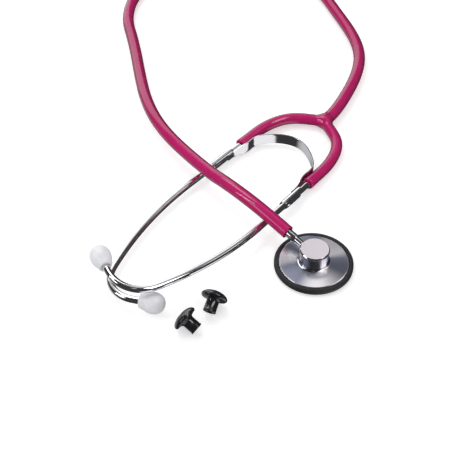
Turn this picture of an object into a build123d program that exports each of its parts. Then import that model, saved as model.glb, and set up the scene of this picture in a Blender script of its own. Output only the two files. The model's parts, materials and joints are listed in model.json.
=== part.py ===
"""Single-head acoustic stethoscope, laid out on a flat surface with two spare ear tips.

Units are millimetres. The origin is the middle of the diaphragm's outer face, in the plane
that the rim rests on, and +Z points up out of the chestpiece. The moulded Y tubing, the ear tubes
and the leaf spring form the headset, which has its own axes: u runs from the yoke to the
ears, v runs to the right-hand ear tube, and z is up.
"""
from build123d import *
from math import cos, radians, sin
import os

# ---------------------------------------------------------------- driving dimensions
# Soft tubing
TUBE_R = 4.2                    # main tube, outside
TUBE_BORE_R = 2.2
BRANCH_R = 3.75                 # yoke branches, outside
BRANCH_BORE_R = 1.7
BRANCH_SPLAY = 57.0             # between a branch and u where it leaves the yoke
BRANCH_KNEE_U, BRANCH_KNEE_V = 12.2, 18.8
JOINT_GAP = 0.15                # between a link's ball end and the cup it turns in
LINK_COUNT = 7                  # separately jointed lengths of the main tube

# Ear tubes
EAR_TUBE_R = 2.1
EAR_TUBE_WALL = 0.5
EAR_TUBE_INSERT = 16.0          # length held inside a yoke branch
EAR_STRAIGHT = 52.4             # from the branch mouth to the long bow
BOW_R, BOW_TURN = 224.6, 21.3
HOOK_R, HOOK_TURN = 19.6, 95.5
EAR_END = 11.7                  # from the hook to the middle of the ear tip

# Leaf spring
SPRING_HEIGHT = 8.0
SPRING_THICK = 0.8
SPRING_APEX_U = 30.6
# places along u and half widths of the arch: shoulder, widest, and drawn in at the waist
SPRING_FLANK = [(39.5, 18.5), (51.0, 24.0), (61.0, 23.0)]
SLEEVE_FROM, SLEEVE_TO = 8.9, 28.1   # along the ear tube from the branch mouth
SLEEVE_R = 2.95
SLEEVE_FIT = 0.05
SLEEVE_LAP = 2.0                # length of the band that runs on along its sleeve

# Ear tips
TIP_R = 6.45
TIP_LENGTH = 15.4
TIP_GRIP = 4.0                  # ear tube length past the tip's middle
SPARE_HEAD_R = 7.95
SPARE_BARREL_R = 3.9
SPARE_LENGTH = 13.0
SPARE_BORE_R = 2.05

# Chestpiece
RIM_R = 24.0
RIM_HEIGHT = 3.5
RIM_LIP = 0.5                   # lower lip, under the diaphragm
RIM_TOP_INNER_R = 21.4
RIM_CHANNEL_R = 22.6
DIAPHRAGM_THICK = 0.3
PLATE_EDGE_TOP = 2.3
PLATE_RISE = 0.7                # from the rim to the foot of the boss
BOSS_R = 8.7
BOSS_TOP = 12.45
CAP_R = 9.0
CAP_TOP = 14.3
CAP_CHAMFER = 0.5
CAP_SPIGOT_R = 3.0
CAP_SPIGOT_LENGTH = 0.9
STEM_TILT = 10.0                # up from the horizontal
STEM_HEADING = 135.0            # in plan, from +X
STEM_AXIS_Z = 8.5               # where the stem's axis meets the chestpiece's
STEM_R = 2.2
COLLAR_R = 2.8
COLLAR_FROM, COLLAR_TO = 15.5, 22.0
BARB_R = 2.42
BARB_LENGTH = 11.0
BARB_COUNT = 4
STEM_BORE_R = 1.3
BARB_FIT = 0.08

# Layout
YOKE_X, YOKE_Y = 15.3, 129.5
HEADSET_HEADING = -131.3        # direction of u, in plan, from +X
ARM_START_U = 57.5              # mouth of a branch
ARM_HALF_SPACING = 28.8
ARM_SHIFT = 1.4
# yaw outward, pitch up and roll of the hook upward, for each ear tube as it lies
ARM_LIE = {-1: (0.0, -0.5, 3.7), 1: (4.2, 4.2, 5.7)}
# centreline of the main tube beyond the yoke, as it lies: out, round the loop and back
TUBE_LIE = [
    (31.8, 156.7, TUBE_R), (46.3, 206.3, TUBE_R), (33.6, 261.6, TUBE_R),
    (7.2, 316.0, TUBE_R), (-48.0, 339.0, TUBE_R), (-103.0, 318.0, TUBE_R),
    (-128.6, 262.0, TUBE_R), (-122.4, 220.7, 4.8), (-113.1, 168.9, 7.2),
    (-95.9, 113.9, 11.4), (-73.3, 80.2, 12.9), (-38.9, 39.3, 15.3),
]
SPARE_LIE = {                   # middle of the head, middle of the barrel's end
    "spare_ear_tip_1": ((-59.7, -32.0), (-62.5, -39.4)),
    "spare_ear_tip_2": ((-75.9, -47.6), (-69.2, -51.9)),
}
SWAY_AT = 0.555                 # along the main tube, as a share of its length
LIFT_FROM, LIFT_TO = 0.62, 0.90


# ---------------------------------------------------------------- axes and centrelines
def headset_axes():
    a = radians(HEADSET_HEADING)
    return Vector(cos(a), sin(a), 0), Vector(-sin(a), cos(a), 0)


def headset_point(u, v, z=TUBE_R):
    along, across = headset_axes()
    return Vector(YOKE_X, YOKE_Y, z) + along * u + across * v


def arm_plane(side):
    """Plane of one bent ear tube: origin at the branch mouth, x along it, y inward."""
    yaw, pitch, roll = (radians(a) for a in ARM_LIE[side])
    u_axis, v_axis = headset_axes()
    inward = v_axis * -side
    level = u_axis * cos(yaw) - inward * sin(yaw)
    across = u_axis * sin(yaw) + inward * cos(yaw)
    along = level * cos(pitch) + Vector(0, 0, sin(pitch))
    rise = Vector(0, 0, cos(pitch)) - level * sin(pitch)
    toward = across * cos(roll) + rise * sin(roll)
    start = headset_point(ARM_START_U, side * ARM_HALF_SPACING + ARM_SHIFT)
    return Plane(origin=start, x_dir=along, z_dir=along.cross(toward))


def ear_tube_path(end_length):
    start = Line((-EAR_TUBE_INSERT, 0), (EAR_STRAIGHT, 0))
    bow = JernArc(start @ 1, start % 1, BOW_R, BOW_TURN)
    hook = JernArc(bow @ 1, bow % 1, HOOK_R, HOOK_TURN)
    end = Line(hook @ 1, hook @ 1 + (hook % 1) * end_length)
    return start + bow + hook + end


def tip_plane(side):
    """Plane across an ear tube's end, at the middle of its ear tip, facing the ear."""
    turn = radians(BOW_TURN + HOOK_TURN)
    arm = arm_plane(side)
    middle = ear_tube_path(EAR_END) @ 1
    heading = arm.x_dir * cos(turn) + arm.y_dir * sin(turn)
    return Plane(origin=arm.from_local_coords(middle), z_dir=heading)


def stem_direction():
    heading, tilt = radians(STEM_HEADING), radians(STEM_TILT)
    return Vector(cos(heading) * cos(tilt), sin(heading) * cos(tilt), sin(tilt))


def stem_point(distance):
    return Vector(0, 0, STEM_AXIS_Z) + stem_direction() * distance


def main_tube_path():
    """Centreline from the yoke, over the barbs, to the collar of the chestpiece's stem."""
    away, _ = headset_axes()
    stem = [stem_point(COLLAR_TO + BARB_LENGTH), stem_point(COLLAR_TO)]
    points = [headset_point(0, 0)] + [Vector(*p) for p in TUBE_LIE] + stem
    return Edge.make_spline(points, tangents=[away * -1, stem_direction() * -1])


def hinge_stations():
    """Shares of the centreline at which one tube link is hinged to the next."""
    lifts = LINK_COUNT - 1
    step = (LIFT_TO - LIFT_FROM) / (lifts - 1)
    return [SWAY_AT] + [LIFT_FROM + step * i for i in range(lifts)]


# ---------------------------------------------------------------- soft tubing
def pipe(path, radius):
    return sweep(Plane(origin=path @ 0, z_dir=path % 0) * Circle(radius), path)


def at(point):
    return Pos(point.X, point.Y, point.Z)


def branch_path(side):
    """From the yoke's middle, splaying out and then running on along the ear tube."""
    arm = arm_plane(side)
    splay = radians(HEADSET_HEADING + side * BRANCH_SPLAY)
    knee = headset_point(BRANCH_KNEE_U, side * BRANCH_KNEE_V + ARM_SHIFT / 2)
    seat = arm.from_local_coords(Vector(-EAR_TUBE_INSERT, 0, 0))
    start = headset_point(0, 0)
    splay_direction = Vector(cos(splay), sin(splay), 0)
    return Edge.make_spline([start, knee, seat], tangents=[splay_direction, arm.x_dir])


def y_tubing(path):
    """Moulded yoke in one piece with the main tube's first, unjointed length."""
    trunk = path.trim(0, SWAY_AT)
    middle = at(headset_point(0, 0))
    solid = pipe(trunk, TUBE_R) + middle * Sphere(TUBE_R)
    hollow = pipe(trunk, TUBE_BORE_R) + middle * Sphere(TUBE_BORE_R)
    for side in ARM_LIE:
        arm = arm_plane(side)
        branch = branch_path(side)
        mouth = Edge.make_line(branch @ 1, arm.origin)
        solid += pipe(branch, BRANCH_R) + pipe(mouth, BRANCH_R)
        hollow += pipe(branch, BRANCH_BORE_R) + pipe(mouth, EAR_TUBE_R)
    cup = at(path @ SWAY_AT) * Sphere(TUBE_R + JOINT_GAP)
    return solid - hollow - cup


def link_arc(path, index):
    """Arc that a tube link follows, from its own hinge towards the chestpiece."""
    stations = hinge_stations()
    start = path @ stations[index]
    if index < LINK_COUNT - 1:
        end = stations[index + 1]
        return ThreePointArc(start, path @ ((stations[index] + end) / 2), path @ end)
    barb_end = stem_point(COLLAR_TO + BARB_LENGTH)
    last = TangentArc(barb_end, start, tangent=stem_direction())
    return ThreePointArc(start, last @ 0.5, barb_end)


def ball_end(arc):
    """Bored half ball that starts a tube link, centred on its hinge."""
    hinge = Plane(origin=arc @ 0, z_dir=arc % 0)
    ball = hinge * (Sphere(TUBE_R) - Cylinder(TUBE_BORE_R, 3 * TUBE_R))
    return split(ball, bisect_by=hinge, keep=Keep.BOTTOM)


def tube_link(path, index):
    """One length of the main tube: a ball end nearer the yoke, a cup at the other."""
    arc = link_arc(path, index)
    outside, bore = pipe(arc, TUBE_R), pipe(arc, TUBE_BORE_R)
    if index < LINK_COUNT - 1:
        cup = at(arc @ 1) * Sphere(TUBE_R + JOINT_GAP)
        return outside - bore + ball_end(arc) - cup
    grip = Edge.make_line(arc @ 1, stem_point(COLLAR_TO))
    return outside + pipe(grip, TUBE_R) - bore + ball_end(arc) - pipe(grip, BARB_R + BARB_FIT)


# ---------------------------------------------------------------- headset metalwork
def ear_tube(side):
    path = ear_tube_path(EAR_END + TIP_GRIP)
    section = Circle(EAR_TUBE_R) - Circle(EAR_TUBE_R - EAR_TUBE_WALL)
    tube = sweep(Plane(origin=path @ 0, z_dir=path % 0) * section, path)
    return arm_plane(side).location * tube


def leaf_spring():
    """Arched band whose two ends are rolled into sleeves round the ear tubes."""
    half = SPRING_THICK / 2
    apex = [headset_point(SPRING_APEX_U, ARM_SHIFT)]
    ends = {}
    for side in ARM_LIE:
        arm = arm_plane(side)
        meets = Vector(SLEEVE_FROM + SLEEVE_LAP, SLEEVE_R - half, 0)
        end = arm.from_local_coords(meets)
        ends[side] = Vector(end.X, end.Y, TUBE_R)
    left = [headset_point(u, -v + ARM_SHIFT) for u, v in reversed(SPRING_FLANK)]
    right = [headset_point(u, v + ARM_SHIFT) for u, v in SPRING_FLANK]
    along, _ = headset_axes()
    points = [ends[-1]] + left + apex + right + [ends[1]]
    path = Edge.make_spline(points, tangents=[along * -1, along])
    start = Plane(origin=path @ 0, x_dir=(0, 0, 1), z_dir=path % 0)
    spring = sweep(start * Rectangle(SPRING_HEIGHT, SPRING_THICK), path)
    for side in ARM_LIE:
        spring += along_ear_tube(side, SLEEVE_R, SLEEVE_FROM, SLEEVE_TO)
    for side in ARM_LIE:
        spring -= along_ear_tube(side, EAR_TUBE_R + SLEEVE_FIT, 0, SLEEVE_TO + 1)
    return spring


def along_ear_tube(side, radius, start, end):
    """Cylinder on an ear tube's straight, between two distances from the branch mouth."""
    section = Plane(origin=(start, 0, 0), z_dir=(1, 0, 0)) * Circle(radius)
    return arm_plane(side).location * extrude(section, end - start)


# ---------------------------------------------------------------- ear tips
def turned(points_and_curves):
    """Solid of revolution about +Z from an outline drawn in the XZ plane."""
    return revolve(Plane.XZ * make_face(points_and_curves), Axis.Z)


def ear_tip(side):
    """Soft bulb pushed over the ear tube's end, with a small hole for the sound."""
    base = -TIP_LENGTH / 2 + 0.4
    top = TIP_LENGTH / 2 + 0.2
    neck_r, sound_r = 4.2, 1.1
    outline = Spline((neck_r, base), (TIP_R, 0.8), (sound_r + 0.8, top - 0.1),
                     tangents=[(0.75, 1), (-1, -0.12)])
    crown = Line(outline @ 1, (sound_r, top))
    sound = Polyline((sound_r, top), (sound_r, TIP_GRIP), (EAR_TUBE_R + 0.02, TIP_GRIP),
                     (EAR_TUBE_R + 0.02, base), (neck_r, base))
    return tip_plane(side).location * turned([outline, crown, sound])


def spare_ear_tip(name):
    """Mushroom-shaped tip lying on the rim of its head and the rim of its barrel."""
    brim = 2.8
    shoulder = SPARE_LENGTH - 5.1
    head = Polyline((SPARE_BORE_R, 0), (SPARE_BARREL_R, 0), (SPARE_BARREL_R, shoulder - 1.2),
                    (SPARE_BARREL_R + 1.0, shoulder), (SPARE_HEAD_R - 0.6, shoulder))
    edge = ThreePointArc(head @ 1, (SPARE_HEAD_R, shoulder + brim / 2),
                         (SPARE_HEAD_R - 0.5, shoulder + brim))
    dome = ThreePointArc(edge @ 1, (SPARE_HEAD_R * 0.55, SPARE_LENGTH - 0.6),
                         (1.0, SPARE_LENGTH))
    sound = Polyline(dome @ 1, (1.0, shoulder), (SPARE_BORE_R, shoulder), (SPARE_BORE_R, 0))
    tip = turned([head, edge, dome, sound])
    low, high = spare_axis(name)
    return Plane(origin=low, z_dir=high - low).location * tip


def spare_axis(name):
    """Barrel end and head middle of a spare tip resting on the flat surface."""
    (head_x, head_y), (barrel_x, barrel_y) = SPARE_LIE[name]
    seat = SPARE_LENGTH - 3.5
    lean = (SPARE_HEAD_R - SPARE_BARREL_R) / seat
    plan = Vector(head_x - barrel_x, head_y - barrel_y, 0).normalized()
    level = (1 - lean * lean) ** 0.5
    low = Vector(barrel_x, barrel_y, SPARE_BARREL_R * level)
    return low, low + plan * (seat * level) + Vector(0, 0, seat * lean)


# ---------------------------------------------------------------- chestpiece
def non_chill_rim():
    """Soft channel-section ring that snaps over the plate and grips the diaphragm."""
    groove_low = RIM_LIP
    groove_high = PLATE_EDGE_TOP + 0.02
    lip_inner_r = 21.0
    rounding = 1.0
    inside = Polyline((RIM_TOP_INNER_R, RIM_HEIGHT), (RIM_TOP_INNER_R, groove_high),
                      (RIM_CHANNEL_R, groove_high), (RIM_CHANNEL_R, groove_low),
                      (lip_inner_r, groove_low), (lip_inner_r, 0), (RIM_R - 0.4, 0),
                      (RIM_R, 0.4), (RIM_R, RIM_HEIGHT - rounding - 0.2))
    shoulder = ThreePointArc(inside @ 1, (RIM_R - 0.35, RIM_HEIGHT - 0.35),
                             (RIM_R - rounding - 0.2, RIM_HEIGHT))
    return turned([inside, shoulder, Line(shoulder @ 1, inside @ 0)])


def diaphragm():
    """Thin formed disc: its face stands proud of the flange that the rim grips."""
    face_r, flange_r = 20.3, RIM_CHANNEL_R - 0.1
    step, thick = RIM_LIP, DIAPHRAGM_THICK
    return turned([Polyline((0, 0), (face_r, 0), (face_r + 0.4, step), (flange_r, step),
                            (flange_r, step + thick), (face_r + 0.2, step + thick),
                            (face_r - 0.2, thick), (0, thick), close=True)])


def chestpiece_body():
    """Turned plate and boss, hollowed as a shallow bell behind the diaphragm."""
    edge_r = RIM_CHANNEL_R - 0.05
    visible_r = RIM_TOP_INNER_R - 0.05
    seat = RIM_LIP + DIAPHRAGM_THICK
    top = RIM_HEIGHT + PLATE_RISE
    bell_r, bell_edge, bell_depth = 20.0, 0.4, 1.6
    passage_r = 2.0
    fillet_r = 1.2
    mid = fillet_r * (1 - sin(radians(45)))
    foot = Polyline((visible_r, PLATE_EDGE_TOP), (visible_r, RIM_HEIGHT - 0.1),
                    (BOSS_R + fillet_r, top))
    fillet = ThreePointArc(foot @ 1, (BOSS_R + mid, top + mid), (BOSS_R, top + fillet_r))
    cap_seat = BOSS_TOP - CAP_SPIGOT_LENGTH - 0.05
    rest = Polyline((BOSS_R, top + fillet_r), (BOSS_R, BOSS_TOP), (CAP_SPIGOT_R, BOSS_TOP),
                    (CAP_SPIGOT_R, cap_seat), (passage_r, cap_seat),
                    (passage_r, seat + bell_depth), (bell_r, seat + bell_edge),
                    (bell_r, seat), (edge_r, seat), (edge_r, PLATE_EDGE_TOP),
                    (visible_r, PLATE_EDGE_TOP))
    body = turned([foot, fillet, rest])
    socket = Edge.make_line(stem_point(0), stem_point(COLLAR_FROM))
    return body - pipe(socket, STEM_R)


def boss_cap():
    """Flat satin cap pressed into the top of the boss, with a polished chamfer."""
    spigot_r, spigot_low = CAP_SPIGOT_R - 0.02, BOSS_TOP - CAP_SPIGOT_LENGTH
    outline = Polyline((0, spigot_low), (spigot_r, spigot_low), (spigot_r, BOSS_TOP),
                       (CAP_R, BOSS_TOP),
                       (CAP_R, CAP_TOP - CAP_CHAMFER), (CAP_R - CAP_CHAMFER, CAP_TOP),
                       (0, CAP_TOP), close=True)
    return turned([outline])


def chest_stem():
    """Hollow stem: shank pressed into the boss, collar, and barbs inside the tube."""
    shank_from = 3.6
    root_r = BARB_R - 0.25
    barb = BARB_LENGTH / BARB_COUNT
    points = [(STEM_BORE_R, shank_from), (STEM_R - 0.01, shank_from),
              (STEM_R - 0.01, COLLAR_FROM), (COLLAR_R, COLLAR_FROM + 0.6),
              (COLLAR_R, COLLAR_TO - 0.1), (root_r, COLLAR_TO - 0.1)]
    for i in range(BARB_COUNT):
        step = COLLAR_TO - 0.1 + barb * i
        points += [(BARB_R, step + barb * 0.25), (root_r, step + barb * 0.95)]
    points.append((STEM_BORE_R, points[-1][1]))
    stem = turned([Polyline(*points, close=True)])
    return Plane(origin=(0, 0, STEM_AXIS_Z), z_dir=stem_direction()).location * stem


# ---------------------------------------------------------------- all pieces
def nodes():
    path = main_tube_path()
    pieces = {
        "y_tubing": y_tubing(path),
        "leaf_spring": leaf_spring(),
        "left_ear_tube": ear_tube(-1),
        "right_ear_tube": ear_tube(1),
        "left_ear_tip": ear_tip(-1),
        "right_ear_tip": ear_tip(1),
        "chestpiece_body": chestpiece_body(),
        "boss_cap": boss_cap(),
        "chest_stem": chest_stem(),
        "diaphragm": diaphragm(),
        "non_chill_rim": non_chill_rim(),
    }
    for index in range(LINK_COUNT):
        pieces[f"tube_link_{index + 1}"] = tube_link(path, index)
    for name in SPARE_LIE:
        pieces[name] = spare_ear_tip(name)
    return pieces


def main():
    os.makedirs("parts", exist_ok=True)
    for name, shape in nodes().items():
        export_step(shape, f"parts/{name}.step")


if __name__ == "__main__":
    main()
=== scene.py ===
"""Looks of the stethoscope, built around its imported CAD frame. Metres, +Z up.

Places come from the frame: joints give the hinges and axes, node boxes give radii and
heights, and the bent tubes' centrelines are traced along the CAD surfaces. Sizes named here
are the object's own, in metres; the points of a turned outline are in millimetres.
"""
import json
import math

import bmesh
import bpy
import numpy as np
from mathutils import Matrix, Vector
from mathutils.bvhtree import BVHTree

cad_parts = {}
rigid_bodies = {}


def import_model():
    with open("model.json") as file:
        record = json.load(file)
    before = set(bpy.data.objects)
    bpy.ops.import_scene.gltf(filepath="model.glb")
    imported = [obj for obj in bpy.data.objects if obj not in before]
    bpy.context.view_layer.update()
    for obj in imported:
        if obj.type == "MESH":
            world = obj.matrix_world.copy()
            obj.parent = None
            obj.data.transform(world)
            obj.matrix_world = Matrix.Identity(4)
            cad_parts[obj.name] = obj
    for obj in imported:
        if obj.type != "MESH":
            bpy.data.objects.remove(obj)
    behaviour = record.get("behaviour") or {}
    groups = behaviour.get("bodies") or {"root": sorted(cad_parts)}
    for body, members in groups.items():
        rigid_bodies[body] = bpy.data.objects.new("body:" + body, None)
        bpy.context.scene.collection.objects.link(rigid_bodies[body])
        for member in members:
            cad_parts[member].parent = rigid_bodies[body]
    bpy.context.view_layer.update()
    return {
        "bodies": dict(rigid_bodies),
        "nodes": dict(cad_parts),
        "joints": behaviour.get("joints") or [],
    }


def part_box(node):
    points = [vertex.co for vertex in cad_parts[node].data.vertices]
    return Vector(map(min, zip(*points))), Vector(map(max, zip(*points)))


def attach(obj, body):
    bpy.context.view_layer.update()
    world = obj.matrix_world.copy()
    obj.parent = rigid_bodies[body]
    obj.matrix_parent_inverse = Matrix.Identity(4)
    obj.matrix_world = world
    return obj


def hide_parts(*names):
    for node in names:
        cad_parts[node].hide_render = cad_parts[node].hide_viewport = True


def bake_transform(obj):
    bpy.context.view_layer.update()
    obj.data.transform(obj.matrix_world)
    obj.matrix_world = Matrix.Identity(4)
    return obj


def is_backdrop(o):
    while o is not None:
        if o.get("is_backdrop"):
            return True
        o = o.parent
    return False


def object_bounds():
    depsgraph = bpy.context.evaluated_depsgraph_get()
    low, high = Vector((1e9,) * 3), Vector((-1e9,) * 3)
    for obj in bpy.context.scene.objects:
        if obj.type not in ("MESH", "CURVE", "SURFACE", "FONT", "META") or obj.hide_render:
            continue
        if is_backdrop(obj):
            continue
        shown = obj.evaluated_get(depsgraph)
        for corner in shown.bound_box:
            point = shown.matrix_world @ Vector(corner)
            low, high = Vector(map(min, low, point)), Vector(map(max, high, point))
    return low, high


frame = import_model()

MM = 0.001
JOINTS = {j["name"]: j for j in frame["joints"]}
CORE = "headset_core"
LINKS = sorted(n for n in frame["bodies"] if n.startswith("tube_"))
LINK_NODES = sorted(n for n in frame["nodes"] if n.startswith("tube_link_"))
SIDES = {"left": -1, "right": 1}

TUBE_R = 4.2 * MM
BRANCH_R = 3.75 * MM
EAR_TUBE_R = 2.1 * MM
RING = 48                       # faces round a tube
STEP = 1.5 * MM                 # between rings along a tube
TRACE_STEP = 2 * MM             # between the traced points of a narrow tube
SECTION_REACH = 1.7             # a section takes in points within this many radii
OUTER_FROM = 0.8                # points within this many are the bore, or what the tube holds
MISFIT = 0.06                   # share of the radius by which a traced ring may be off
LAP = 0.02 * MM                 # by which a smooth tube starts inside the yoke's middle
YOKE_ARM = 13 * MM              # length of each limb of the yoke's middle piece
YOKE_BACK, YOKE_SHIFT = 38.0 * MM, 1.4 * MM     # from the middle of the two spread hinges
TRUNK_CLEAR, BRANCH_CLEAR = 9 * MM, 7 * MM      # web round the yoke's middle, not traced
YOKE_VOXEL, YOKE_SPARE = 0.45 * MM, 0.6 * MM    # rough yoke: its grain and extra thickness
GATE_AHEAD, GATE_ASIDE = 40 * MM, 29 * MM       # near which each ear tube passes
SPRING_THICK, SPRING_HEIGHT = 0.8 * MM, 8.0 * MM
SPRING_NECK = 4.7 * MM          # height of the band where it enters its sleeve
SLEEVE_R = 2.95 * MM
SLEEVE_START, SLEEVE_LENGTH = 24.9 * MM, 19.2 * MM      # along the ear tube
SEAM = 14.0                     # half of a sleeve's open angle, degrees
TIP_GRIP = 4.0 * MM             # ear tube's end past the middle of its tip


# ---------------------------------------------------------------- reading the frame
def unit(v):
    return np.array(v, float) / np.linalg.norm(v)


def hinge(name):
    return np.array(JOINTS[name]["pos_m"], float)


def axis_of(name):
    return unit(JOINTS[name]["axis"])


def node_mesh(node):
    """Vertices and triangle corners of a CAD node."""
    mesh = frame["nodes"][node].data
    mesh.calc_loop_triangles()
    co = np.array([v.co for v in mesh.vertices], float)
    tris = np.array([t.vertices for t in mesh.loop_triangles], int)
    return co, tris


def section(shape, point, normal, reach):
    """Points where a plane cuts a CAD node's triangle edges, near a point."""
    co, tris = shape
    height = (co - point) @ normal
    found = []
    for a, b in ((0, 1), (1, 2), (2, 0)):
        i, j = tris[:, a], tris[:, b]
        crossing = (height[i] > 0) != (height[j] > 0)
        i, j = i[crossing], j[crossing]
        share = height[i] / (height[i] - height[j])
        found.append(co[i] + (co[j] - co[i]) * share[:, None])
    found = np.concatenate(found)
    return found[np.linalg.norm(found - point, axis=1) < reach]


def circle_middle(points, normal, radius):
    """Centre of the circle of about this radius through a section's outer points, or None."""
    if len(points) < 8:
        return None
    middle = points.mean(0)
    side = unit(np.cross(normal, (0.3, 0.5, 0.8)))
    up = np.cross(normal, side)
    for _ in range(3):
        rim = points[np.linalg.norm(points - middle, axis=1) > OUTER_FROM * radius]
        if len(rim) < 6:
            return None
        x, y = (rim - middle) @ side, (rim - middle) @ up
        terms = np.c_[x, y, np.ones(len(x))]
        fit = np.linalg.lstsq(terms, x * x + y * y, rcond=None)[0]
        shift = fit[:2] / 2
        middle = middle + side * shift[0] + up * shift[1]
        size = math.sqrt(max(fit[2] + shift @ shift, 0))
    return middle if abs(size - radius) < MISFIT * radius else None


def trace(node, start, heading, radius, step=3 * MM):
    """Centreline of a round tube's CAD surface, from a start point to where it ends."""
    shape = node_mesh(node)
    here, toward, found = np.array(start, float), unit(heading), []
    while len(found) < 400:                 # more than any tube here needs
        points = section(shape, here, toward, SECTION_REACH * radius)
        middle = circle_middle(points, toward, radius)
        if middle is None:
            return np.array(found)
        if found:
            toward = unit(middle - found[-1])
        found.append(middle)
        here = middle + toward * step
    return np.array(found)


def smooth_path(points, step=STEP):
    """Evenly spaced points on a smooth curve through a few points."""
    points = np.array(points, float)
    knots = length_along(points)
    slopes = np.gradient(points, knots, axis=0, edge_order=2)
    count = max(3, int(round(knots[-1] / step)) + 1)
    at = np.linspace(0, knots[-1], count)
    k = np.clip(np.searchsorted(knots, at, side="right") - 1, 0, len(knots) - 2)
    h = (knots[k + 1] - knots[k])[:, None]
    t = (at - knots[k])[:, None] / h
    return ((2 * t**3 - 3 * t**2 + 1) * points[k] + (t**3 - 2 * t**2 + t) * h * slopes[k]
            + (3 * t**2 - 2 * t**3) * points[k + 1] + (t**3 - t**2) * h * slopes[k + 1])


def settle(points, passes=6):
    """The same path with a traced surface's small steps evened out, without shrinking it."""
    points = np.array(points, float)
    for _ in range(passes):
        for share in (0.5, -0.51):
            toward = (points[:-2] + points[2:]) / 2 - points[1:-1]
            points[1:-1] += toward * share
    return points


def length_along(points):
    """Distance along a path from its start to each of its points."""
    gaps = np.linalg.norm(np.diff(points, axis=0), axis=1)
    return np.concatenate([[0], np.cumsum(gaps)])


def length_left(points):
    """Distance along a path from each of its points to its end."""
    s = length_along(points)
    return s[-1] - s


def stretch(points, start, end, clear=0.2 * MM):
    """The part of a path between two distances along it: inner points clear its new ends."""
    s = length_along(points)
    start, end = max(start, 0.0), min(end, s[-1])
    inside = points[(s > start + clear) & (s < end - clear)]
    ends = [[np.interp(d, s, points[:, i]) for i in range(3)] for d in (start, end)]
    return np.vstack([ends[0], inside, ends[1]])


def nearest_along(points, target):
    """Distance along a path of its point nearest to a target."""
    s = length_along(points)
    return s[np.argmin(np.linalg.norm(points - target, axis=1))]


# ---------------------------------------------------------------- mesh building
def new_piece(name, verts, faces, flat=()):
    """Mesh object with outward normals; faces whose index is in flat keep hard edges."""
    mesh = bpy.data.meshes.new(name)
    mesh.from_pydata([tuple(v) for v in verts], [], faces)
    for i, polygon in enumerate(mesh.polygons):
        polygon.use_smooth = i not in flat
    mesh.update()
    shape = bmesh.new()
    shape.from_mesh(mesh)
    bmesh.ops.recalc_face_normals(shape, faces=shape.faces)
    shape.to_mesh(mesh)
    shape.free()
    piece = bpy.data.objects.new(name, mesh)
    bpy.context.scene.collection.objects.link(piece)
    return piece


def sharpen(piece, degrees):
    """Keeps edges hard where faces meet at more than this angle."""
    piece.data.set_sharp_from_angle(angle=math.radians(degrees))


def path_frames(points):
    """Tangent, side and up vectors carried along a path without twisting."""
    tangents = np.gradient(points, axis=0)
    tangents /= np.linalg.norm(tangents, axis=1)[:, None]
    up = np.array([0, 0, 1.0])
    frames = []
    for t in tangents:
        side = unit(np.cross(up, t)) if not frames else frames[-1][1]
        side = unit(side - t * (side @ t))
        frames.append((t, side, np.cross(t, side)))
    return frames


def loft(rows, ring):
    """Quads that join each closed row of vertices to the next."""
    faces = []
    for i in range(rows - 1):
        for j in range(ring):
            a, b = i * ring + j, i * ring + (j + 1) % ring
            faces.append((a, b, b + ring, a + ring))
    return faces


def end_faces(rows, ring):
    """One face over the first row of a loft and one over the last."""
    return [tuple(reversed(range(ring))), tuple(range((rows - 1) * ring, rows * ring))]


def ring_mesh(name, points, sizes, frames, ring=RING):
    """Closed tube through rings of the given radii, with flat ends."""
    verts = []
    turn = np.linspace(0, 2 * math.pi, ring, endpoint=False)
    for p, r, (_, side, up) in zip(points, sizes, frames):
        verts += [p + (side * math.cos(a) + up * math.sin(a)) * r for a in turn]
    sides = loft(len(points), ring)
    flat = {len(sides), len(sides) + 1}
    piece = new_piece(name, verts, sides + end_faces(len(points), ring), flat)
    sharpen(piece, 50)
    return piece


def sweep_path(name, path, points, sizes):
    """Sweep whose rings may step back along the path, such as round a lip into a bore."""
    frames = path_frames(path)
    directions = [frames[int(np.argmin(np.linalg.norm(path - p, axis=1)))] for p in points]
    return ring_mesh(name, points, sizes, directions)


def lathe(name, profile, origin=(0, 0, 0), axis=(0, 0, 1), ring=96, sharp=35):
    """Solid of revolution: profile is (radius, height) pairs in mm, first and last on the
    axis, or joined into a closed loop when it never meets the axis."""
    axis = unit(axis)
    across = unit(np.cross(axis, (0.0, 1.0, 0.0) if abs(axis[1]) < 0.9 else (1.0, 0, 0)))
    other = np.cross(axis, across)
    origin = np.array(origin, float)
    verts, rows = [], []
    for r, h in [(a * MM, b * MM) for a, b in profile]:
        if r == 0:
            rows.append([len(verts)])
            verts.append(origin + axis * h)
            continue
        rows.append(list(range(len(verts), len(verts) + ring)))
        for a in np.linspace(0, 2 * math.pi, ring, endpoint=False):
            verts.append(origin + axis * h + (across * math.cos(a) + other * math.sin(a)) * r)
    closed = profile[0][0] > 0 and profile[-1][0] > 0
    pairs = list(zip(rows, rows[1:])) + ([(rows[-1], rows[0])] if closed else [])
    faces = []
    for low, high in pairs:
        for j in range(ring):
            k = (j + 1) % ring
            face = [low[j % len(low)], low[k % len(low)], high[k % len(high)], high[j % len(high)]]
            kept = list(dict.fromkeys(face))
            if len(kept) > 2:
                faces.append(tuple(kept))
    piece = new_piece(name, verts, faces)
    sharpen(piece, sharp)
    return piece


def arc(middle, radius, start, end, count=8):
    """Points of a round stretch of a profile, angles in degrees from +radius to +height."""
    angles = np.radians(np.linspace(start, end, count))
    return [(middle[0] + radius * math.cos(a), middle[1] + radius * math.sin(a)) for a in angles]


def curve_through(points, count):
    """Smooth profile of this many steps through a few (radius, height) points."""
    flat = np.array([(x, y, 0) for x, y in points], float)
    path = smooth_path(flat, length_along(flat)[-1] / count)
    return [(p[0], p[1]) for p in path]


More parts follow.
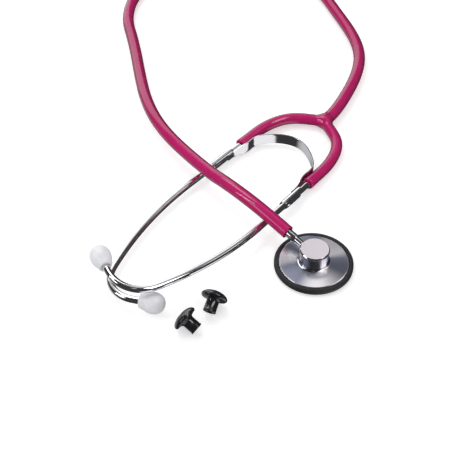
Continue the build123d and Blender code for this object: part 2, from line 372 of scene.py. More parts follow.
# ---------------------------------------------------------------- materials
COLOUR_A, COLOUR_B, COLOUR_OUT = 6, 7, 2        # sockets of a Mix node that mixes colours
RANGE_ENDS = ("From Min", "From Max", "To Min", "To Max")


class Nodes:
    """A node tree built up with short calls. What one node passes to another is a pair: the
    node and the name of its output."""

    def __init__(self, tree):
        self.tree = tree

    def feed(self, node, inputs):
        """Sets a node's inputs, and links those whose value comes from another node."""
        for name, value in inputs.items():
            socket = node.inputs[name.replace("_", " ") if isinstance(name, str) else name]
            if isinstance(value, tuple) and isinstance(value[0], bpy.types.Node):
                self.tree.links.new(value[0].outputs[value[1]], socket)
            else:
                socket.default_value = value

    def add(self, kind, settings=None, **inputs):
        node = self.tree.nodes.new("ShaderNode" + kind)
        for key, value in (settings or {}).items():
            setattr(node, key, value)
        self.feed(node, inputs)
        return node

    def place(self, stretch=(1, 1, 1)):
        """Object coordinates, stretched."""
        where = self.add("TexCoord")
        return self.add("Mapping", Vector=(where, "Object"), Scale=stretch), "Vector"

    def noise(self, size, detail=3.0, stretch=(1, 1, 1)):
        """Noise whose features are about this size, in metres."""
        place = self.place(stretch)
        return self.add("TexNoise", Scale=1 / size, Detail=detail, Vector=place), "Fac"

    def ranged(self, source, before, after, kind="LINEAR"):
        """A value mapped from one range to another."""
        node = self.add("MapRange", {"interpolation_type": kind}, Value=source)
        self.feed(node, dict(zip(RANGE_ENDS, (*before, *after))))
        return node, "Result"

    def spread(self, noise, low=0, high=1):
        """The middle of a noise's range, where most of it lies, mapped to another range."""
        return self.ranged(noise, (0.3, 0.7), (low, high))

    def compute(self, operation, *values):
        """Arithmetic on numbers and other nodes' values."""
        node = self.add("Math", {"operation": operation})
        self.feed(node, dict(enumerate(values)))
        return node, "Value"

    def mix(self, share, first, second, blend="MIX"):
        """Mix of two colours."""
        node = self.add("Mix", {"data_type": "RGBA", "blend_type": blend})
        self.feed(node, {0: share, COLOUR_A: first, COLOUR_B: second})
        return node, COLOUR_OUT


class Material(Nodes):
    """A material: a principled shader and what feeds it."""

    def __init__(self, name, **principled):
        self.made = bpy.data.materials.new(name)
        self.made.use_nodes = True
        super().__init__(self.made.node_tree)
        self.shader = self.tree.nodes["Principled BSDF"]
        self.surface(**principled)

    def surface(self, **inputs):
        self.feed(self.shader, inputs)

    def tones(self, share, dark, light):
        """Base colour between two tones."""
        colour = self.mix(share, (*dark, 1), (*light, 1))
        self.surface(Base_Color=colour)
        return colour

    def roughen(self, size, low, high, **more):
        """Roughness clouded between two values."""
        self.surface(Roughness=self.spread(self.noise(size, **more), low, high))

    def bump(self, source, depth, **below):
        """Relief of about this depth; Normal gives another one that it lies on."""
        node = self.add("Bump", Distance=depth, Strength=1.0, Height=source, **below)
        self.surface(Normal=(node, "Normal"))
        return node, "Normal"


def tubing_material():
    """Glossy raspberry PVC: faint clouding, painted shade on the edges that turn from the eye, a
    soft orange peel and fine dust pits.
    """
    m = Material("tubing", Coat_Weight=0.8, Coat_Roughness=0.05, Specular_IOR_Level=0.1)
    clouds = m.spread(m.noise(14 * MM, detail=2))
    raspberry = m.tones(clouds, (0.50, 0.011, 0.128), (0.56, 0.014, 0.150))
    # painted shade: edges that turn from the eye are darkened in the base colour
    painted_edge_shade(m, raspberry, (0.20, 0.008, 0.055))
    m.roughen(6 * MM, 0.24, 0.32)
    peel = m.bump(m.noise(4 * MM, detail=1), 0.006 * MM)
    m.bump(m.noise(0.4 * MM, detail=1), 0.0004 * MM, Normal=peel)
    return m.made


def painted_edge_shade(m, colour, shade_colour):
    """Painted shade: the base colour darkens toward a shade colour where the surface turns away
    from the eye.
    """
    facing = m.add("LayerWeight", Blend=0.5), "Facing"
    share = m.ranged(facing, (0.22, 0.85), (0, 1), "SMOOTHSTEP")
    m.surface(Base_Color=m.mix(share, colour, (*shade_colour, 1)))


def chrome_material():
    """Bright chrome plate with hairline handling marks."""
    m = Material("chrome", Metallic=1.0)
    m.tones(m.spread(m.noise(12 * MM)), (0.78, 0.78, 0.80), (0.90, 0.90, 0.91))
    m.roughen(1.2 * MM, 0.035, 0.10, detail=5)
    m.bump(m.noise(0.5 * MM, detail=2), 0.002 * MM)
    return m.made


def spring_material():
    """Polished spring steel with faint lengthwise drawing lines."""
    m = Material("spring_steel", Metallic=1.0)
    lines = m.noise(3 * MM, stretch=(1, 1, 18))
    m.tones(m.spread(lines), (0.70, 0.71, 0.74), (0.84, 0.85, 0.87))
    m.roughen(2 * MM, 0.06, 0.15, stretch=(1, 1, 12))
    m.bump(lines, 0.002 * MM)
    return m.made


def turned_material():
    """Fine-turned aluminium: grooves run round the axis, so light fans out from it. Bright fans of
    reflected light are also painted into the base colour, by azimuth.
    """
    m = Material("plate", Metallic=1.0, Roughness=0.36, Anisotropic=0.85)
    tangent = m.add("Tangent", {"direction_type": "RADIAL", "axis": "Z"})
    m.surface(Tangent=(tangent, "Tangent"))
    rings = turned_rings(m, 0.10 * MM)
    # painted highlights: bright fans of reflected light set in the base colour by azimuth
    fans = [(-76, 50, 1.0), (44, 38, 1.0), (168, 28, 0.7)]
    painted_fan_tone = m.tones(painted_light_fans(m, fans), (0.30, 0.32, 0.41), (0.90, 0.88, 0.91))
    m.surface(Base_Color=m.mix(0.25, painted_fan_tone, (rings, "Color"), "MULTIPLY"))
    m.bump((rings, "Fac"), 0.0012 * MM)
    return m.made


def painted_light_fans(m, fans):
    """Painted highlight: brightness painted on a turned face by direction from the axis, as
    (azimuth, half width, level).
    """
    parts = m.add("SeparateXYZ", Vector=(m.add("TexCoord"), "Object"))
    turn = m.compute("ARCTAN2", (parts, "Y"), (parts, "X"))
    total = 0.0
    for azimuth, half_width, level in fans:
        near = m.compute("COSINE", m.compute("SUBTRACT", turn, math.radians(azimuth)))
        width = math.cos(math.radians(half_width)), 1.0
        fan = m.ranged(near, width, (0, level), "SMOOTHSTEP")
        total = m.compute("ADD", fan, total)
    return total


def distance_from_axis(m):
    """Distance of a point from the chestpiece's vertical axis."""
    flat = m.place(stretch=(1, 1, 0))
    return m.add("VectorMath", {"operation": "LENGTH"}, Vector=flat), "Value"


def turned_rings(m, pitch):
    """Noise that changes only with distance from the vertical axis."""
    reach = distance_from_axis(m)
    return m.add("TexNoise", {"noise_dimensions": "1D"}, Scale=1 / pitch, Detail=2.0, W=reach)


def boss_material():
    """Polished aluminium of the boss wall and the plate's chamfer, with painted upright highlights
    in its colour at three azimuths and a painted glow on the wall.
    """
    m = Material("boss", Metallic=1.0, Emission_Color=(1.0, 0.96, 1.0, 1))
    # painted highlights: upright stripes of reflected light set in the base colour by azimuth
    painted_glints = [(-38, 17, 1.0), (-150, 40, 0.35), (100, 60, 0.5)]
    m.tones(painted_light_fans(m, painted_glints), (0.40, 0.41, 0.47), (1.0, 1.0, 1.0))
    m.roughen(1.0 * MM, 0.10, 0.18, stretch=(1, 1, 10))
    # painted glow: emission stands in for a bright highlight on the wall
    m.surface(Emission_Strength=painted_light_fans(m, [(-52, 20, 0.45)]))
    return m.made


def satin_material():
    """Bead-blasted cap face inside a polished edge: the finish follows the radius."""
    m = Material("cap")
    grain = m.noise(0.18 * MM)
    m.tones(m.spread(grain), (0.72, 0.67, 0.71), (0.84, 0.79, 0.83))
    m.bump(grain, 0.003 * MM)
    face_r, half_edge = body_radius("boss_cap") - 0.6 * MM, 0.07 * MM
    edge = (face_r - half_edge, face_r + half_edge)
    reach = distance_from_axis(m)
    m.surface(Roughness=m.ranged(reach, edge, (0.48, 0.10)),
              Metallic=m.ranged(reach, edge, (0.45, 1.0)))
    return m.made


def rim_material():
    """Satin black rubber with a fine moulded grain."""
    m = Material("rim", Specular_IOR_Level=0.3)
    m.tones(m.spread(m.noise(4 * MM)), (0.019, 0.019, 0.021), (0.028, 0.028, 0.031))
    m.roughen(1.5 * MM, 0.42, 0.60)
    m.bump(m.noise(0.22 * MM), 0.010 * MM)
    return m.made


def white_tip_material():
    """Milky soft PVC: light scatters in it."""
    m = Material("tip_white", Subsurface_Weight=0.8, Subsurface_Scale=3 * MM,
                 Subsurface_Radius=(1.0, 0.95, 1.0), Coat_Weight=0.1, Coat_Roughness=0.3)
    m.tones(m.spread(m.noise(4 * MM)), (0.80, 0.80, 0.84), (0.90, 0.90, 0.94))
    m.roughen(1.5 * MM, 0.32, 0.46)
    m.bump(m.noise(0.5 * MM, detail=2), 0.008 * MM)
    return m.made


def black_tip_material():
    """Glossy black PVC with soft dimples."""
    m = Material("tip_black", Coat_Weight=0.6, Coat_Roughness=0.05, Specular_IOR_Level=0.5)
    m.tones(m.spread(m.noise(3 * MM)), (0.008, 0.008, 0.010), (0.016, 0.016, 0.020))
    m.roughen(1.2 * MM, 0.10, 0.20)
    m.bump(m.noise(1.1 * MM, detail=2), 0.01 * MM)
    return m.made


def diaphragm_material():
    """Glass-fibre sheet: a plain weave just visible under the resin."""
    m = Material("diaphragm", Roughness=0.35, Coat_Weight=0.3)
    threads = []
    for across in ((1, 0, 0), (0, 1, 0)):
        wave = m.add("TexWave", {"bands_direction": "DIAGONAL"}, Scale=1 / (4.5 * MM),
                     Distortion=0.4, Vector=m.place(across))
        threads.append((wave, "Fac"))
    weave = m.compute("MULTIPLY", *threads)
    m.tones(weave, (0.60, 0.62, 0.58), (0.74, 0.75, 0.71))
    m.bump(weave, 0.01 * MM)
    return m.made


def floor_material():
    """Plain pale sheet, lifted to paper white for the camera. Reflections pass through it to
    the studio beyond, as on a polished table."""
    m = Material("floor", Base_Color=(0.84, 0.84, 0.84, 1), Roughness=0.9,
                 Specular_IOR_Level=0.0, Emission_Color=(1, 1, 1, 1))
    path = m.add("LightPath")
    m.surface(Emission_Strength=m.compute("MULTIPLY", (path, "Is Camera Ray"), FLOOR_LIFT))
    clear = m.add("BsdfTransparent")
    mix = m.add("MixShader")
    m.feed(mix, {0: (path, "Is Glossy Ray"), 1: (m.shader, "BSDF"), 2: (clear, "BSDF")})
    m.feed(m.tree.nodes["Material Output"], {"Surface": (mix, "Shader")})
    return m.made


# ---------------------------------------------------------------- headset axes
TUBE_HINGES = [hinge("tube_sway")] + [hinge(f"tube_lift_{i}") for i in range(1, len(LINKS))]
MIDDLE = (hinge("left_spread") + hinge("right_spread")) / 2
ACROSS = unit(hinge("right_spread") - hinge("left_spread"))
ALONG = unit(np.cross(ACROSS, (0, 0, 1)))       # from the yoke toward the ear tips
if ALONG @ (hinge("left_spread") - np.array(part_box("left_ear_tip")[0])) > 0:
    ALONG = -ALONG
YOKE = MIDDLE - ALONG * YOKE_BACK - ACROSS * YOKE_SHIFT


def ear_tube_path(side):
    """Centreline from the end held in the yoke's branch to the end held in the ear tip."""
    node = f"{side}_ear_tube"
    shape = node_mesh(node)
    near = MIDDLE + ALONG * GATE_AHEAD + ACROSS * SIDES[side] * GATE_ASIDE
    start = circle_middle(section(shape, near, ALONG, 9 * MM), ALONG, EAR_TUBE_R)
    ahead = trace(node, start, ALONG, EAR_TUBE_R, TRACE_STEP)
    behind = trace(node, start, -ALONG, EAR_TUBE_R, TRACE_STEP)
    path = settle(np.vstack([behind[::-1], ahead[1:]]), 20)
    return to_ends(path, shape[0], EAR_TUBE_R)


def to_ends(path, co, radius):
    """A traced path carried on to the flat ends of its tube."""
    ends = []
    for last, before in ((path[0], path[1]), (path[-1], path[-2])):
        toward = unit(last - before)
        close = co[np.linalg.norm(co - last, axis=1) < 3 * radius]
        ends.append(last + toward * max((close - last) @ toward))
    return np.vstack([ends[0], path, ends[1]])


def branch_path(side):
    """Centreline of a yoke branch, from the yoke's middle to its mouth."""
    ear_path = EAR_PATHS[side]
    heading = unit(ear_path[4] - ear_path[1])
    inside = ear_path[0] + heading * 2 * MM
    back = trace("y_tubing", inside, -heading, BRANCH_R, TRACE_STEP)
    ahead = trace("y_tubing", inside, heading, BRANCH_R, TRACE_STEP)
    co = node_mesh("y_tubing")[0]
    close = co[np.linalg.norm(co - ahead[-1], axis=1) < 2 * BRANCH_R]
    mouth = ahead[-1] + heading * max((close - ahead[-1]) @ heading)
    limb = settle(np.vstack([back[::-1], ahead[1:]]))
    limb = limb[np.linalg.norm(limb - YOKE, axis=1) > BRANCH_CLEAR]
    return smooth_path(np.vstack([YOKE, limb[::2], mouth]))


def main_tube_path():
    """Centreline from the yoke's middle, through every link, to the collar of the stem."""
    end = hinge("chestpiece_swivel")
    before, after = 6 * MM, 4 * MM          # traces start this far from a hinge, in solid tube
    short, on_stem = 3 * MM, 9 * MM         # and stop short of the next, or run on over the stem
    back = unit(TUBE_HINGES[0] - TUBE_HINGES[1])
    trunk = trace("y_tubing", TUBE_HINGES[0] + back * before, back, TUBE_R)
    trunk = trunk[np.linalg.norm(trunk - YOKE, axis=1) > TRUNK_CLEAR][::-1]
    points = [YOKE[None], trunk[::2]]
    for node, start, ahead in zip(LINK_NODES, TUBE_HINGES, TUBE_HINGES[1:] + [end]):
        way = ahead - start
        link = trace(node, start + unit(way) * after, way, TUBE_R)
        limit = np.linalg.norm(way) - short + (on_stem if ahead is end else 0)
        link = link[np.linalg.norm(link - start, axis=1) < limit]
        points += [start[None], link[::3]]
    points.append(end[None])
    return settle(smooth_path(np.vstack(points)), 60)


EAR_PATHS = {side: ear_tube_path(side) for side in SIDES}
BRANCH_PATHS = {side: branch_path(side) for side in SIDES}
MAIN_PATH = main_tube_path()


# ---------------------------------------------------------------- soft tubing
def closest_on(path, points):
    """Distance from each point to a path."""
    best = np.full(len(points), np.inf)
    for a, b in zip(path, path[1:]):
        edge = b - a
        share = np.clip((points - a) @ edge / (edge @ edge), 0, 1)
        best = np.minimum(best, np.linalg.norm(points - a - share[:, None] * edge, axis=1))
    return best


def blended_distance(limbs, points, soft=3.5 * MM):
    """Distance outside several tubes whose joins are filled with a smooth web."""
    total = None
    for path, radius in limbs:
        d = closest_on(path, points) - radius
        if total is None:
            total = d
            continue
        h = np.clip(0.5 + 0.5 * (total - d) / soft, 0, 1)
        total = total * (1 - h) + d * h - soft * h * (1 - h)
    return total


def yoke_surface(limbs, nudge=0.05 * MM, passes=4):
    """Voxel mesh of the three limbs, pulled onto the blended surface."""
    rough = []
    for i, (path, radius) in enumerate(limbs):
        sizes = [radius + YOKE_SPARE] * len(path)
        rough.append(ring_mesh(f"limb_{i}", path, sizes, path_frames(path), ring=24))
    bpy.ops.object.select_all(action="DESELECT")
    for limb in rough:
        limb.select_set(True)
    bpy.context.view_layer.objects.active = rough[0]
    bpy.ops.object.join()
    yoke = rough[0]
    remesh = yoke.modifiers.new("voxels", "REMESH")
    remesh.mode, remesh.voxel_size = "VOXEL", YOKE_VOXEL
    bpy.ops.object.modifier_apply(modifier=remesh.name)
    co = np.array([v.co for v in yoke.data.vertices])
    for _ in range(passes):
        away = blended_distance(limbs, co)
        slope = np.stack([blended_distance(limbs, co + e) - blended_distance(limbs, co - e)
                          for e in np.eye(3) * nudge], axis=1)
        slope /= np.linalg.norm(slope, axis=1)[:, None]
        co = co - slope * away[:, None]
    yoke.data.vertices.foreach_set("co", co.ravel())
    return yoke


def cut_flat(piece, point, normal):
    """Removes what lies beyond a plane and closes the cut with a flat face."""
    shape = bmesh.new()
    shape.from_mesh(piece.data)
    everything = shape.verts[:] + shape.edges[:] + shape.faces[:]
    cut = bmesh.ops.bisect_plane(shape, geom=everything, dist=1e-7, plane_co=point,
                                 plane_no=normal, clear_outer=True)
    rim = [e for e in cut["geom_cut"] if isinstance(e, bmesh.types.BMEdge)]
    bmesh.ops.edgeloop_fill(shape, edges=rim)
    shape.to_mesh(piece.data)
    shape.free()


def yoke_middle():
    """The moulded Y, as far as the smooth tubes that carry on from its three limbs."""
    paths = [MAIN_PATH] + [BRANCH_PATHS[side] for side in SIDES]
    radii = [TUBE_R, BRANCH_R, BRANCH_R]
    limbs = [(stretch(p, 0, YOKE_ARM + 3 * MM), r) for p, r in zip(paths, radii)]
    piece = yoke_surface(limbs)
    piece.name = "yoke"
    for path in paths:
        ends = stretch(path, YOKE_ARM, YOKE_ARM + 1 * MM)
        cut_flat(piece, ends[0], unit(ends[1] - ends[0]))
    piece.data.shade_smooth()
    sharpen(piece, 60)
    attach(piece, CORE)
    return piece


def add_rings(path, points, sizes, radius, lip):
    """Rings at a sweep's end, each some mm inside a radius and some mm back from the end."""
    heading = unit(path[-1] - path[-3])
    for inward, back in lip:
        points.append(path[-1] - heading * back * MM)
        sizes.append(radius - inward * MM)


def branch(side):
    """Yoke branch: swells a little at its mouth, where it grips the ear tube."""
    path = stretch(BRANCH_PATHS[side], YOKE_ARM - LAP, math.inf)
    left = length_left(path)
    swell, over = 0.12 * MM, 6 * MM
    radii = BRANCH_R + swell * np.exp(-((left / over) ** 2))
    keep = left > 1.0 * MM
    points, sizes = list(path[keep]), list(radii[keep])
    edge = [(0.0, 0.8), (0.1, 0.35), (0.35, 0.1), (0.75, 0.0)]
    bore = [(-0.35, 0.0), (-0.05, 0.4), (-0.05, 5.0)]
    add_rings(path, points, sizes, radii[-1], edge)
    add_rings(path, points, sizes, EAR_TUBE_R, bore)
    piece = sweep_path(f"{side}_branch", path, points, sizes)
    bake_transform(piece)
    return piece


def main_tube():
    """One piece per hinge, joined mid-link, between a start on the headset core and an end on the
    last link.
    """
    at = [nearest_along(MAIN_PATH, h) for h in TUBE_HINGES]
    half = (at[2] - at[1]) / 2
    cuts = [at[0] - half] + [(a + b) / 2 for a, b in zip(at, at[1:])] + [at[-1] + half]
    start = tube_piece("tube_start", YOKE_ARM - LAP, cuts[0])
    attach(start, CORE)
    pieces = [start]
    for i, station in enumerate(at):
        piece = tube_piece(f"tube_bend_{i + 1}", cuts[i], cuts[i + 1])
        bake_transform(piece)
        pieces.append(piece)
    end = tube_end(cuts[-1])
    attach(end, LINKS[-1])
    return pieces + [end]


def tube_piece(name, start, end):
    """Plain length of the main tube."""
    path = stretch(MAIN_PATH, start, end)
    return ring_mesh(name, path, [TUBE_R] * len(path), path_frames(path))


def tube_end(start):
    """The tube over the stem's barbs: it ends at the collar, with a fine groove in its end."""
    path = stretch(MAIN_PATH, start, math.inf)
    points, sizes = list(path), [TUBE_R] * len(path)
    add_rings(path, points, sizes, TUBE_R, [(0.05, 0.5), (0.2, 0.2), (0.5, 0.0), (1.6, 0.0)])
    return sweep_path("tube_end", path, points, sizes)


# ---------------------------------------------------------------- headset metalwork
def ear_tube(side):
    """Thin-walled bent tube, open at the ear end, with two grip grooves under the tip."""
    path = smooth_path(EAR_PATHS[side], 0.5 * MM)
    left = length_left(path)
    radii = np.full(len(path), EAR_TUBE_R)
    depth, half_width = 0.12 * MM, 0.5 * MM
    for groove in (2.5 * MM, 5.5 * MM):
        radii -= depth * np.exp(-(((left - groove) / half_width) ** 2))
    points, sizes = list(path[:-1]), list(radii[:-1])
    mouth = [(0.0, 0.15), (0.12, 0.0), (0.45, 0.0), (0.5, 0.2), (0.5, 8.0)]
    add_rings(path, points, sizes, EAR_TUBE_R, mouth)
    piece = sweep_path(f"{side}_tube", path, points, sizes)
    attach(piece, f"{side}_arm")
    return piece


def spring_line(side):
    """Middle of the spring's band, from the apex of the arch into its sleeve."""
    co, tris = node_mesh("leaf_spring")
    tree = BVHTree.FromPolygons([tuple(v) for v in co], [tuple(t) for t in tris])
    centre = MIDDLE + ALONG * 14 * MM                   # inside the arch
    reach = 60 * MM                                     # well outside it
    points = []
    for degrees in np.arange(180, 84, -4):              # from the apex round to the side
        a = math.radians(degrees)
        toward = ALONG * math.cos(a) + ACROSS * SIDES[side] * math.sin(a)
        near = tree.ray_cast(Vector(centre), Vector(toward))[0]
        far = tree.ray_cast(Vector(centre + toward * reach), Vector(-toward), reach)[0]
        points.append((np.array(near) + np.array(far)) / 2)
    middle, heading, inward = sleeve_axis(side)
    seat = inward * (SLEEVE_R - SPRING_THICK / 2)
    for before in (7.0, 2.0, -3.0):                     # mm outside the sleeve's mouth
        off = inward * 0.9 * MM * max(before - 2.0, 0) / 5
        points.append(middle - heading * (SLEEVE_LENGTH / 2 + (before - 3.0) * MM) + seat + off)
    return smooth_path(points, 0.8 * MM)


def sleeve_axis(side):
    """Middle and direction of a rolled sleeve, and the way from it into the arch."""
    ends = stretch(EAR_PATHS[side], SLEEVE_START, SLEEVE_START + SLEEVE_LENGTH)
    heading = unit(ends[-1] - ends[0])
    inward = np.cross(heading, (0, 0, 1))
    inward = unit(inward * np.sign(inward @ (MIDDLE + ALONG * 30 * MM - ends[0])))
    return (ends[0] + ends[-1]) / 2, heading, inward


def spring_half(side):
    """Half of the arched band: full height over the arch, drawn in as it nears the sleeve."""
    path = spring_line(side)
    left = length_left(path)
    share = np.clip((left - 4 * MM) / (10 * MM), 0, 1)
    heights = SPRING_NECK + (SPRING_HEIGHT - SPRING_NECK) * share * share * (3 - 2 * share)
    verts = []
    for p, t, high in zip(path, np.gradient(path, axis=0), heights):
        out = unit(np.cross(unit(t), (0, 0, 1)))
        up = np.cross(out, unit(t))
        outline = band_outline(SPRING_THICK / 2, high / 2, 0.18 * MM)
        verts += [p + out * x + up * y for x, y in outline]
    ring = len(outline)
    faces = loft(len(path), ring) + end_faces(len(path), ring)
    piece = new_piece(f"{side}_spring_half", verts, faces)
    sharpen(piece, 40)
    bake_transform(piece)
    return piece


def band_outline(half_thick, half_high, edge):
    """Rounded rectangle: corners of radius edge, with points down the long sides."""
    points = []
    for x, y, start in ((1, 1, 0), (-1, 1, 90), (-1, -1, 180), (1, -1, 270)):
        middle = (x * (half_thick - edge), y * (half_high - edge))
        points += arc(middle, edge, start, start + 90, 4)
        if start in (90, 270):
            here, far = points[-1][1], -y * (half_high - edge)
            points += [(x * half_thick, here + (far - here) * k / 4) for k in (1, 2, 3)]
    return points


def sleeve(side):
    """Spring's end rolled round the ear tube: an open seam with its corners cut back."""
    middle, heading, inward = sleeve_axis(side)
    outward = -inward
    up = np.cross(heading, outward)
    inner = EAR_TUBE_R + 0.05 * MM
    cut_back, cut_turn, edge = 4.5 * MM, math.radians(75), 0.15 * MM
    turns = np.radians(np.linspace(SEAM, 360 - SEAM, 49))
    steps = 10
    rounded = [edge] + [0.0] * (steps - 2) + [edge]
    verts = []
    for a in turns:
        from_seam = min(a, 2 * math.pi - a) - math.radians(SEAM)
        half = SLEEVE_LENGTH / 2 - cut_back * max(0.0, 1 - from_seam / cut_turn) ** 2
        way = outward * math.cos(a) + up * math.sin(a)
        along = np.linspace(-half, half, steps)
        verts += [middle + heading * h + way * (SLEEVE_R - r) for h, r in zip(along, rounded)]
        verts += [middle + heading * h + way * inner for h in along[::-1]]
    row = 2 * steps
    faces = loft(len(turns), row)
    for first, flip in ((0, False), ((len(turns) - 1) * row, True)):
        for j in range(steps - 1):
            quad = [first + j, first + j + 1, first + row - 2 - j, first + row - 1 - j]
            faces.append(tuple(quad[::-1] if flip else quad))
    piece = new_piece(f"{side}_sleeve", verts, faces)
    sharpen(piece, 40)
    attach(piece, f"{side}_arm")
    return piece


# ---------------------------------------------------------------- ear tips
def ear_tip(side):
    """Soft bulb, open at the neck for the ear tube, with a small sound hole."""
    path = EAR_PATHS[side]
    heading = axis_of(f"{side}_tip_pull")
    heading = heading * np.sign(heading @ (path[-1] - path[-4]))
    middle = path[-1] - heading * TIP_GRIP
    lip = arc((3.85, -6.9), 0.38, -90, -5, 5)
    outer = curve_through([(4.2, -6.9), (4.95, -4.6), (6.1, -1.4), (6.42, 1.2), (5.9, 4.0),
                           (4.3, 6.4), (2.6, 7.45), (1.75, 7.75)], 30)
    crown = arc((1.75, 7.35), 0.4, 80, 175, 5)
    bore = [(1.25, 6.0), (1.25, 4.2), (2.16, 4.1), (2.16, -7.0), (2.4, -7.27)]
    outline = lip + outer + crown + bore
    piece = lathe(f"{side}_tip_bulb", outline, middle, heading, ring=72, sharp=55)
    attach(piece, f"{side}_tip")
    return piece


def spare_tip(node, body):
    """Black mushroom-shaped tip, lying on the rims of its head and barrel."""
    low, heading = turned_axis(node)
    barrel = [(2.05, 0.3), (2.35, 0.0)] + arc((3.55, 0.35), 0.35, -90, 0, 5)
    barrel += [(3.9, 0.8), (3.76, 1.05), (3.72, 5.4)]
    shoulder = arc((5.12, 6.4), 1.4, 180, 105, 6)
    brim = [(5.9, 7.95), (6.6, 8.05)] + arc((6.55, 9.35), 1.35, -78, 48, 9)
    dome = curve_through([(7.4, 10.45), (6.3, 11.4), (4.5, 12.2), (2.6, 12.7),
                          (1.5, 12.75)], 20)
    mouth = arc((1.5, 12.4), 0.35, 80, 180, 5)
    bore = [(1.1, 8.4), (2.05, 8.2)]
    outline = barrel + shoulder + brim + dome + mouth + bore
    piece = lathe(f"{body}_mushroom", outline, low, heading, ring=72, sharp=50)
    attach(piece, body)
    return piece


def turned_axis(node):
    """Barrel end and direction of a turned CAD node, found from its surface's inertia."""
    co, tris = node_mesh(node)
    a, b, c = co[tris[:, 0]], co[tris[:, 1]], co[tris[:, 2]]
    area = np.linalg.norm(np.cross(b - a, c - a), axis=1)
    middles = (a + b + c) / 3
    centre = (middles * area[:, None]).sum(0) / area.sum()
    spread = ((middles - centre).T * area) @ (middles - centre)
    sizes, ways = np.linalg.eigh(spread)
    odd = 0 if sizes[1] - sizes[0] > sizes[2] - sizes[1] else 2
    way = ways[:, odd]
    height = (co - centre) @ way
    reach = np.linalg.norm(co - centre - height[:, None] * way, axis=1)
    if height[np.argmax(reach)] < (height.min() + height.max()) / 2:
        way, height = -way, -height
    return centre + way * height.min(), way


# ---------------------------------------------------------------- chestpiece
def body_radius(node):
    """Radius of an upright round node."""
    low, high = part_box(node)
    return (high[0] - low[0]) / 2


def top_of(node):
    """Height of a node's top."""
    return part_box(node)[1][2]


def rim():
    """Channel-section rubber ring with a soft outer shoulder and a fine inner lip."""
    wide, tall = 24.0, 3.5              # mm, the size at which the outline below is drawn
    outline = [(21.45, 3.35), (21.55, 3.5), (22.6, 3.5)]
    outline += arc((22.75, 2.25), 1.25, 88, 8, 10)
    outline += [(24.0, 1.6), (24.0, 0.9)] + arc((23.45, 0.55), 0.55, 0, -90, 6)
    outline += [(22.4, 0.0), (21.3, 0.0), (21.0, 0.12), (21.0, 0.48), (22.58, 0.5),
                (22.58, 2.3), (21.45, 2.32)]
    across, up = body_radius("non_chill_rim") / MM / wide, top_of("non_chill_rim") / MM / tall
    piece = lathe("rim_ring", [(x * across, y * up) for x, y in outline], ring=160, sharp=45)
    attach(piece, "chestpiece")
    return piece


def plate_and_boss():
    """Turned plate, filleted boss, and the shallow bell behind the diaphragm."""
    top = top_of("chestpiece_body") / MM
    boss = body_radius("boss_cap") / MM - 0.3
    edge, foot = 20.7, boss + 1.4       # radii where the plate's gentle slope starts and ends
    low, rise = 3.46, 0.74
    plate = [(21.38, 2.35), (21.38, 3.1), (21.1, 3.42), (edge, low)]
    plate += [(edge + (foot - edge) * k / 10, low + rise * k / 10) for k in range(1, 11)]
    fillet = arc((boss + 1.3, 5.5), 1.3, -90, -180, 8)
    wall = [(boss, 6.5), (boss, top - 0.45), (boss - 0.3, top - 0.3), (boss - 0.3, top)]
    inside = [(3.0, top), (3.0, top - 0.95), (2.0, top - 0.95), (2.0, 2.4), (20.0, 1.2),
              (20.0, 0.82), (22.5, 0.82), (22.5, 2.28), (21.4, 2.3)]
    piece = lathe("plate_and_boss", plate + fillet + wall + inside, ring=192, sharp=28)
    for face in piece.data.polygons:
        reach, height = math.hypot(*face.center[:2]) / MM, face.center[2] / MM
        polished = reach < boss + 1.25 or reach > edge + 0.15
        face.material_index = int(polished and height > 2.3)
    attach(piece, "chestpiece")
    return piece


def cap():
    """Disc on the boss: a peg below, and a chamfer round a face sunk by a hair."""
    r, top = body_radius("boss_cap") / MM, top_of("boss_cap") / MM
    seat = top_of("chestpiece_body") / MM
    outline = [(0, seat - 0.85), (2.95, seat - 0.85), (2.95, seat), (r - 0.25, seat),
               (r, seat + 0.2), (r, top - 0.75), (r - 0.5, top - 0.06), (r - 0.6, top),
               (r - 1.2, top - 0.03), (0, top - 0.03)]
    piece = lathe("cap_disc", outline, ring=160, sharp=25)
    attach(piece, "chestpiece")
    return piece


def diaphragm_disc():
    """Thin sheet whose edge is stepped up into the rim's channel."""
    outline = [(0, 0.0), (20.2, 0.0), (20.65, 0.45), (22.5, 0.5), (22.5, 0.8), (20.5, 0.78),
               (20.1, 0.3), (0, 0.3)]
    piece = lathe("diaphragm_disc", outline, ring=128)
    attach(piece, "chestpiece")
    return piece


def stem():
    """Shank, collar with a rounded shoulder and a groove, and the barbs inside the tube."""
    seat = hinge("chestpiece_swivel")
    heading = axis_of("chestpiece_swivel")
    heading = heading * np.sign(heading @ seat)
    shank = [(1.3, -18.2), (2.18, -18.2), (2.18, -6.9)]
    collar = arc((2.3, -6.4), 0.5, -90, 0, 5)
    collar += [(2.8, -2.2), (2.66, -2.05), (2.66, -1.75), (2.8, -1.6)]
    collar += arc((2.5, -0.4), 0.3, 0, 90, 4) + [(2.17, -0.1)]
    barbs = []
    for i in range(4):
        start = 2.75 * i - 0.1
        barbs += [(2.4, start + 0.7), (2.17, start + 2.6)]
    barbs.append((1.3, barbs[-1][1]))
    piece = lathe("stem_metal", shank + collar + barbs, seat, heading, ring=72, sharp=30)
    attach(piece, "chestpiece")
    return piece


# ---------------------------------------------------------------- finishes
def finish_piece(piece, slot_name, *materials):
    """Gives a piece its materials."""
    for material in materials:
        piece.data.materials.append(material)


def finish_tubing():
    """Y tubing: one skin over the yoke and the links."""
    soft = [yoke_middle()] + [branch(side) for side in SIDES] + main_tube()
    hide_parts("y_tubing", *LINK_NODES)
    tubing = tubing_material()
    for piece in soft:
        finish_piece(piece, "tubing", tubing)


